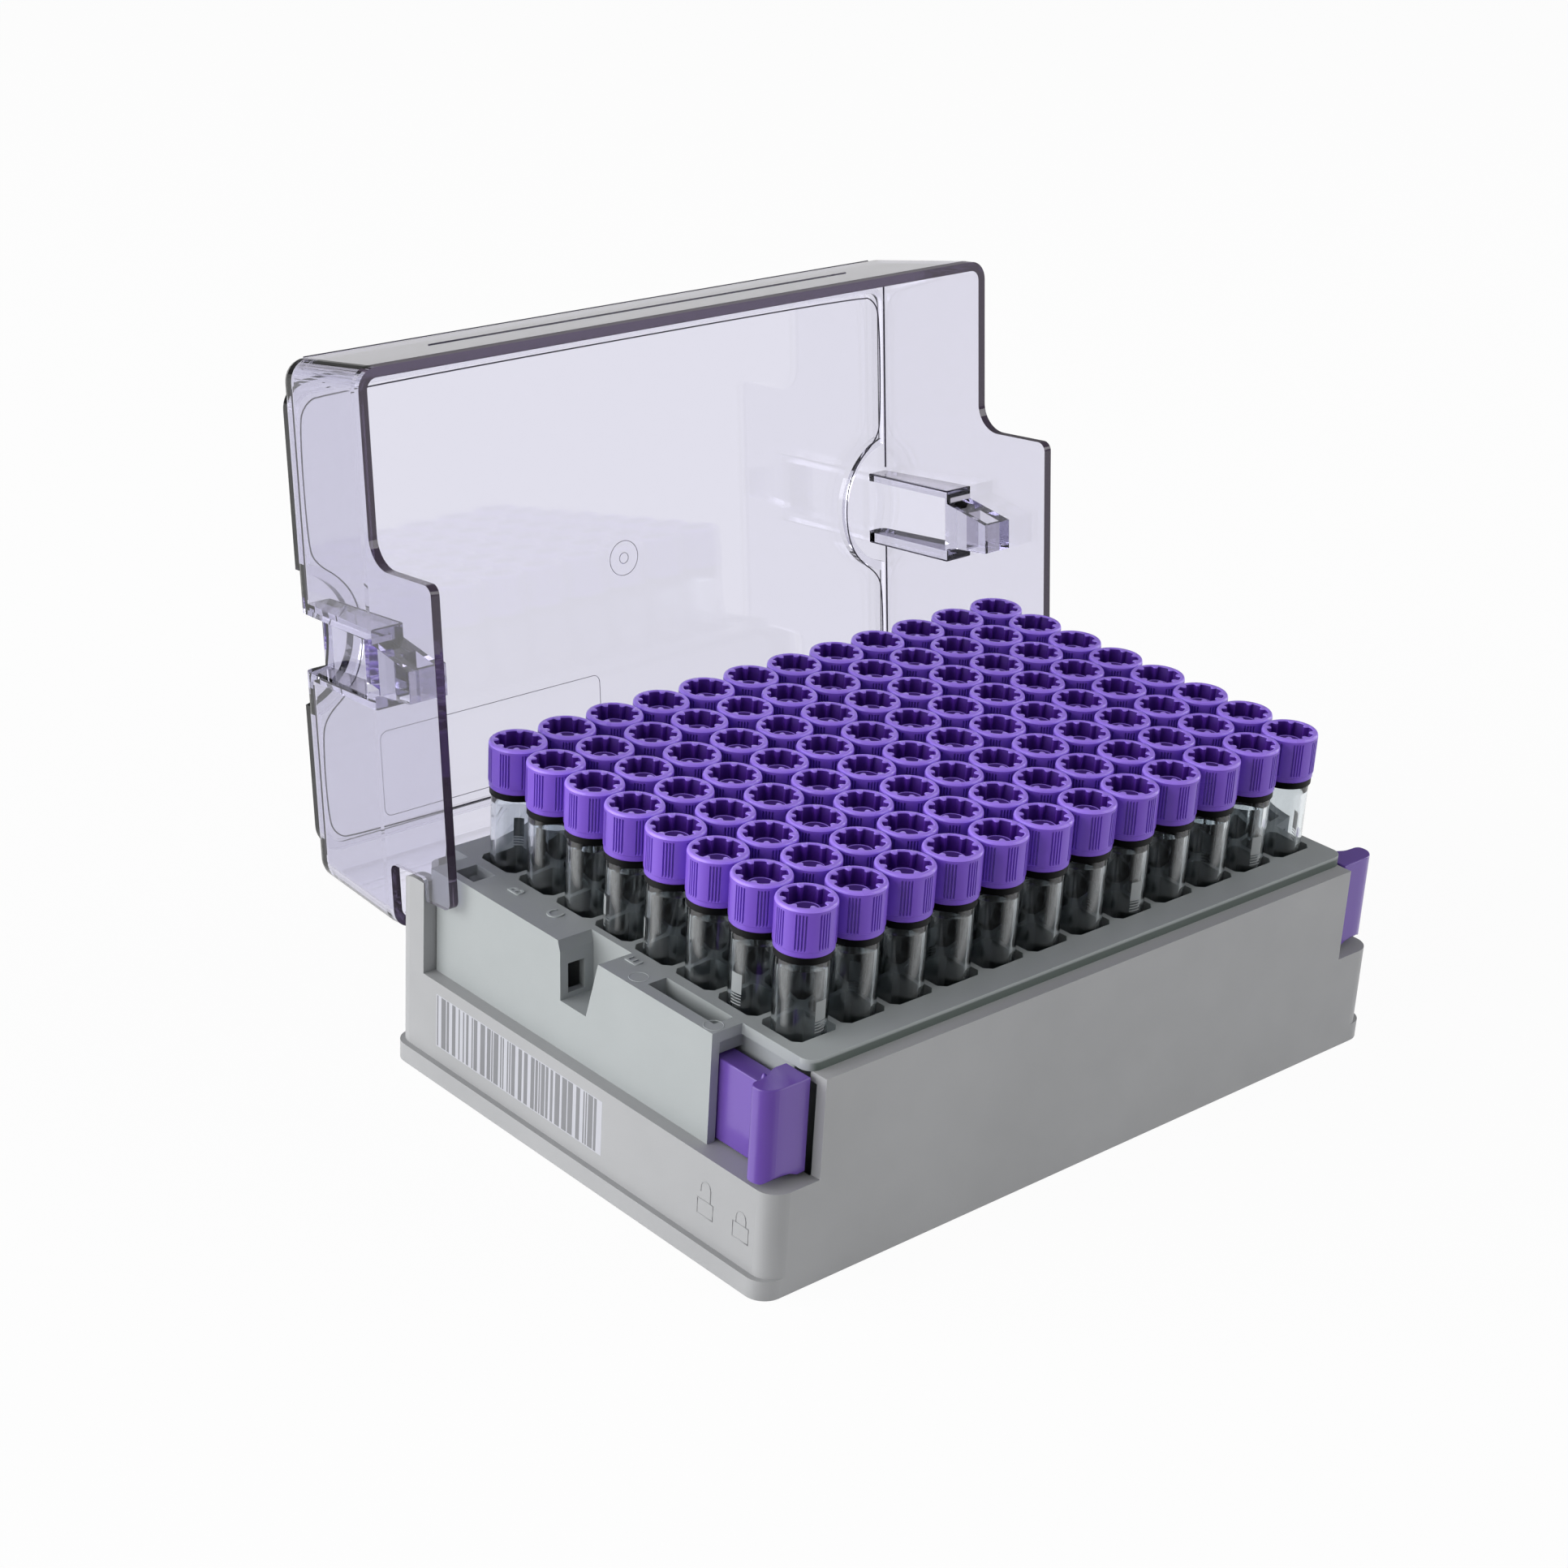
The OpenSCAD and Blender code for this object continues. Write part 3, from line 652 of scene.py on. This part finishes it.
GRIP_EDGE_ZS, GRIP_FOOT_XS = (52.6, 46.2, 39.9, 33.7), (55.6, 57.4, 59.2, 60.8)
LABEL_FRAME = (
    (-48.1, 21.6), (-48.1, 20.1), (-47.3, 19.3), (-45.8, 19.3), (-7.9, 19.3), (-6.4, 19.3), (-5.6, 20.1),
    (-5.6, 21.6), (-5.6, 30.9), (-5.6, 32.4), (-6.4, 33.2), (-7.9, 33.2), (-45.8, 33.2), (-47.3, 33.2),
    (-48.1, 32.4), (-48.1, 30.9),
)
GATE_AT, GATE_RINGS = (0.5, 0.8), (0.9, 2.9)
PANEL_LINE_R, CORNER_LINE_R, STRIP_LINE_R, GRIP_LINE_R, FAINT_LINE_R = 0.12, 0.17, 0.12, 0.13, 0.06


def make_lid_piece(name, lines, material):
    """One piece of thin beads on the lid. Each has a path, a radius, and whether it is closed."""
    verts, faces = [], []
    for path, radius, closed in lines:
        bead(verts, faces, [opened(*point) for point in path], radius, closed)
    make_piece(name, verts, faces, [material], "lid", "lid", True)


def make_lid_lines(materials):
    """The fine steps of the lid: the panel's outline, corners and grips in dark beads, painted shade where
    refraction darkens the real steps; a label frame and the gate mark in lighter beads.
    """
    dark, faint = materials["lid_line"], materials["lid_faint"]
    outline = list(PANEL_SIDE) + [(-x, y) for x, y in reversed(PANEL_SIDE)] + list(PANEL_BACK)
    panel = [(x, y, INNER_TOP_Z) for x, y in smooth_path(outline, 3, True)]
    make_lid_piece("lid_panel_line", [(panel, PANEL_LINE_R, True)], dark)

    lines = []
    for side in (-1, 1):
        for start, end in CORNER_RUNS:
            path = [(side * CORNER_X, start + (end - start) * k / 6, CORNER_Z) for k in range(7)]
            lines.append((path, CORNER_LINE_R, False))
    for y, z, half in STRIP_LINES:
        lines.append(([(half * (k / 6 - 1), y, z) for k in range(13)], STRIP_LINE_R, False))
    make_lid_piece("lid_corner_lines", lines, dark)

    lines = []
    for side in (-1, 1):
        for y in GRIP_EDGES_Y:
            lines.append(([(side * GRIP_EDGE_X, y, z) for z in GRIP_EDGE_ZS], GRIP_LINE_R, False))
            lines.append(([(side * x, y, GRIP_EDGE_LOW) for x in GRIP_FOOT_XS], GRIP_LINE_R, False))
    make_lid_piece("lid_grip_lines", lines, dark)

    paths = [smooth_path(list(LABEL_FRAME), 2, True)] + [circle(*GATE_AT, r, 32) for r in GATE_RINGS]
    lines = [([(x, y, INNER_TOP_Z) for x, y in path], FAINT_LINE_R, True) for path in paths]
    make_lid_piece("lid_frame_line", lines, faint)


# Marks on the frame and the insert
STRIPE_LOW, STRIPE_HIGH, STRIPE_UNIT = 5.7, 14.1, 0.27
STRIPES_FROM, STRIPES_TO = 32.4, -6.2
BAR_UNITS, GAP_UNITS = (1, 1, 2, 3, 4), (1, 1, 1, 2, 3)
GROUND_FROM, GROUND_TO, GROUND_MARGIN = -6.9, 32.6, 0.15
BAR_LIFT, GROUND_LIFT, SLAB_ROOT = 0.03, 0.012, 0.05


def add_slab(verts, faces, y0, y1, z0, z1, lift):
    """Adds a thin slab that stands lift proud of the left side."""
    a = len(verts)
    for depth in (SLAB_ROOT, -lift):
        x = -SIDE_X + depth
        verts += [(x, y0, z0), (x, y1, z0), (x, y1, z1), (x, y0, z1)]
    faces += [(a, a + 1, a + 2, a + 3), (a + 7, a + 6, a + 5, a + 4)]
    faces += [(a, a + 4, a + 5, a + 1), (a + 1, a + 5, a + 6, a + 2)]
    faces += [(a + 2, a + 6, a + 7, a + 3), (a + 3, a + 7, a + 4, a)]


def make_stripes(materials):
    """A made-up pattern of printed stripes on the left side."""
    rng = random.Random(3)
    bars, ground = ([], []), ([], [])
    margins = (STRIPE_LOW - GROUND_MARGIN, STRIPE_HIGH + GROUND_MARGIN)
    add_slab(*ground, GROUND_FROM, GROUND_TO, *margins, GROUND_LIFT)
    y = STRIPES_FROM
    while y > STRIPES_TO:
        width = STRIPE_UNIT * rng.choice(BAR_UNITS)
        add_slab(*bars, y - width, y, STRIPE_LOW, STRIPE_HIGH, BAR_LIFT)
        y -= width + STRIPE_UNIT * rng.choice(GAP_UNITS)
    make_piece("stripes", *bars, [materials["print"]], "rack", "frame")
    make_piece("stripe_ground", *ground, [materials["print_ground"]], "rack", "frame")


PADLOCKS = (("padlock_open", -29.5, 1.0), ("padlock_shut", -36.8, 0.0))  # y, and how far the arch is lifted
PADLOCK_HALF, PADLOCK_LOW, PADLOCK_HIGH, ARCH_FOOT = 1.6, 7.0, 9.4, 10.4
PADLOCK_LINE_R = 0.09


def make_padlocks(materials):
    """Two small padlocks moulded into the left side, one open and one shut."""
    for name, y, lift in PADLOCKS:
        left, right = y - PADLOCK_HALF, y + PADLOCK_HALF
        case = [(left, PADLOCK_LOW), (right, PADLOCK_LOW), (right, PADLOCK_HIGH), (left, PADLOCK_HIGH)]
        top = ARCH_FOOT + lift
        arch = [(y - 1.0, PADLOCK_HIGH), (y - 1.0, top)]
        arch += [(y - math.cos(math.pi * k / 8), top + math.sin(math.pi * k / 8)) for k in range(1, 8)]
        arch += [(y + 1.0, top), (y + 1.0, PADLOCK_HIGH + 1.2 * lift)]
        verts, faces = [], []
        for path, closed in ((case, True), (arch, False)):
            bead(verts, faces, [(-SIDE_X, a, b) for a, b in path], PADLOCK_LINE_R, closed)
        make_piece(name, verts, faces, [materials["frame"]], "rack", "frame", True)


LETTERS, LETTER_X = (("B", 22.5), ("C", 13.5), ("E", -4.5)), -56.1
LETTER_SIZE, LETTER_RISE, LETTER_BEVEL = 3.4, 0.12, 0.03
EJECTORS = ((-58.4, -8.4), (-59.0, -25.0), (58.4, -8.4), (59.0, -25.0))
EJECTOR_R, EJECTOR_LINE_R = 1.4, 0.05


def make_letters(materials):
    """Raised row letters beside the wells, and the faint circles of ejector pins, both in the lighter edge
    colour, which is painted highlight.
    """
    for letter, y in LETTERS:
        curve = bpy.data.curves.new("letter_" + letter, "FONT")
        curve.body = letter
        curve.size = LETTER_SIZE * MM
        curve.extrude = LETTER_RISE * MM
        curve.bevel_depth = LETTER_BEVEL * MM
        curve.align_x = curve.align_y = "CENTER"
        obj = bpy.data.objects.new("letter_" + letter, curve)
        bpy.context.scene.collection.objects.link(obj)
        obj.location = (LETTER_X * MM, y * MM, DECK_Z * MM)
        bpy.context.view_layer.update()
        data = bpy.data.meshes.new_from_object(obj.evaluated_get(bpy.context.evaluated_depsgraph_get()))
        data.transform(obj.matrix_world)
        bpy.data.objects.remove(obj)
        data.materials.clear()
        data.materials.append(materials["insert_edge"])
        add_object("row_letter_" + letter.lower(), data, "rack")
    verts, faces = [], []
    for x, y in EJECTORS:
        bead(verts, faces, [(a, b, DECK_Z) for a, b in circle(x, y, EJECTOR_R, 28)], EJECTOR_LINE_R)
    make_piece("ejector_rings", verts, faces, [materials["insert_edge"]], "rack", "insert", True)


# Light, in metres and watts: each light's place, size and power
LIGHTS = {
    "key": ((-1.22, 0.5, 0.42), (1.8, 1.1), 24.5),
    "fill": ((0.95, -1.15, 0.7), (1.0, 0.8), 8),
    "edge": ((1.3, -0.25, 0.45), (0.35, 1.0), 4),
}
LIGHT_AIM = (0, 0, 0.04)

# Studio: its colours, its level as light, and its levels for reflections
PLAIN_COLOUR, PLAIN_LEVEL = (0.8, 0.8, 0.8, 1), 0.33
WHITE_COLOUR = (0.97, 0.97, 0.97, 1)
ABOVE_LEVEL, FACING_LEVEL, LEFT_LEVEL = 0.2, 0.03, 1.6
ABOVE_RANGE, FACING_RANGE, LEFT_RANGE = (-0.1, 0.1), (0.3, 0.85), (-0.9, -0.3)  # of a direction's parts

FLOOR_HALF, FLOOR_DROP = 3.0, 0.0001
FLOOR_COLOUR, FLOOR_ROUGH, FLOOR_GLOW = (0.9, 0.9, 0.9, 1), 0.9, 0.95


def make_light(name, at, size, power):
    data = bpy.data.lights.new(name, "AREA")
    data.shape = "RECTANGLE"
    data.size, data.size_y = size
    data.energy = power
    obj = bpy.data.objects.new(name, data)
    bpy.context.scene.collection.objects.link(obj)
    obj.location = at
    obj.rotation_euler = (Vector(LIGHT_AIM) - Vector(at)).to_track_quat("-Z", "Y").to_euler()


def make_world():
    """White studio. Reflections see it dim above, bright on the left and dark on the photograph's side."""
    world = bpy.data.worlds.new("studio")
    bpy.context.scene.world = world
    world.use_nodes = True
    sky = Tree(world.node_tree)
    path = sky.add("ShaderNodeLightPath").outputs
    heading = sky.add("ShaderNodeTexCoord").outputs["Generated"]
    level_heading = sky.vector_calc("NORMALIZE", sky.vector_calc("MULTIPLY", heading, (1, 1, 0)))
    facing = sky.vector_calc("DOT_PRODUCT", level_heading, (math.sin(CAM_AZ), -math.cos(CAM_AZ), 0))
    front = sky.map_range(facing, *FACING_RANGE, 1.0, FACING_LEVEL, "SMOOTHSTEP")
    axes = sky.add("ShaderNodeSeparateXYZ", Vector=heading).outputs
    above = sky.map_range(axes["Z"], *ABOVE_RANGE, 1.0, ABOVE_LEVEL, "SMOOTHSTEP")
    above = sky.calc("MAXIMUM", above, path["Is Transmission Ray"])
    left = sky.map_range(axes["X"], *LEFT_RANGE, LEFT_LEVEL, 1.0, "SMOOTHSTEP")
    mirrored = sky.calc("MULTIPLY", sky.calc("MULTIPLY", front, above), left)
    reflected = sky.calc("MINIMUM", path["Glossy Depth"], 1.0)
    direct = sky.calc("SUBTRACT", 1.0, reflected)
    level = sky.calc("ADD", direct, sky.calc("MULTIPLY", reflected, mirrored))
    plain = sky.add("ShaderNodeBackground", Color=PLAIN_COLOUR, Strength=PLAIN_LEVEL).outputs[0]
    white = sky.add("ShaderNodeBackground", Color=WHITE_COLOUR, Strength=level).outputs[0]
    seen = sky.calc("MAXIMUM", path["Is Glossy Ray"], path["Is Transmission Ray"])
    seen = sky.calc("MAXIMUM", seen, path["Is Camera Ray"])
    mix = sky.fill("ShaderNodeMixShader", seen, plain, white)
    sky.add("ShaderNodeOutputWorld", Surface=mix.outputs[0])


def make_floor():
    """Pale floor with the object's shadow. Gloss and clear pieces see the white studio in its place."""
    data = bpy.data.meshes.new("floor")
    corners = [(x * FLOOR_HALF, y * FLOOR_HALF, 0) for x, y in ((-1, -1), (1, -1), (1, 1), (-1, 1))]
    data.from_pydata(corners, [], [(0, 1, 2, 3)])
    floor = bpy.data.objects.new("floor", data)
    bpy.context.scene.collection.objects.link(floor)
    floor.location.z = -FLOOR_DROP
    paint = Look("floor_paint").set(Base_Color=FLOOR_COLOUR, Roughness=FLOOR_ROUGH)
    path = paint.add("ShaderNodeLightPath").outputs
    glow = paint.add("ShaderNodeEmission", Strength=1.0).outputs[0]
    glowing = paint.calc("MULTIPLY", path["Is Camera Ray"], FLOOR_GLOW)
    surface = paint.fill("ShaderNodeMixShader", glowing, paint.shader.outputs[0], glow).outputs[0]
    opening = paint.add("ShaderNodeBsdfTransparent").outputs[0]
    through = paint.calc("MAXIMUM", path["Is Glossy Ray"], path["Is Transmission Ray"])
    mix = paint.fill("ShaderNodeMixShader", through, surface, opening)
    paint.feed(paint.out, Surface=mix.outputs[0])
    data.materials.append(paint.material)


# CAD nodes that stay in view: the material of those whose name begins so, and the width of rounded edges
NODE_LOOKS = {
    "outer_frame": "frame", "well_insert": "insert", "base_grid": "grid", "tube": "tube", "seal": "seal",
    "code": "code",
}
BEVELS = {"outer_frame": 0.3, "well_insert": 0.25}
NODE_MERGE = 0.000005  # in metres
# The rounded edges take this second material, a lighter painted highlight
PAINTED_HIGHLIGHT_SLOT = 1


def dress_nodes(materials):
    """Gives the CAD nodes that stay in view their materials and rounded edges, whose lighter colour is
    painted highlight.
    """
    for name, obj in NODES.items():
        for start, look in NODE_LOOKS.items():
            if name.startswith(start):
                obj.data.materials.clear()
                obj.data.materials.append(materials[look])
        if name in BEVELS:
            weld = obj.modifiers.new("weld", "WELD")
            weld.merge_threshold = NODE_MERGE
            add_bevel(obj, BEVELS[name]).material = PAINTED_HIGHLIGHT_SLOT
            obj.data.materials.append(materials[NODE_LOOKS[name] + "_edge"])


MATERIALS = make_materials()
make_camera()
make_world()
make_floor()
for light, (at, size, power) in LIGHTS.items():
    make_light(light, at, size, power)
dress_nodes(MATERIALS)
make_caps(MATERIALS)
make_patches(MATERIALS)
make_lock("lock_slider_left", "lock_left", -1, MATERIALS)
make_lock("lock_slider_right", "lock_right", 1, MATERIALS)
make_lid(MATERIALS)
make_lid_lines(MATERIALS)
make_stripes(MATERIALS)
make_padlocks(MATERIALS)
make_letters(MATERIALS)

view = bpy.context.scene.view_settings
view.view_transform = "Standard"
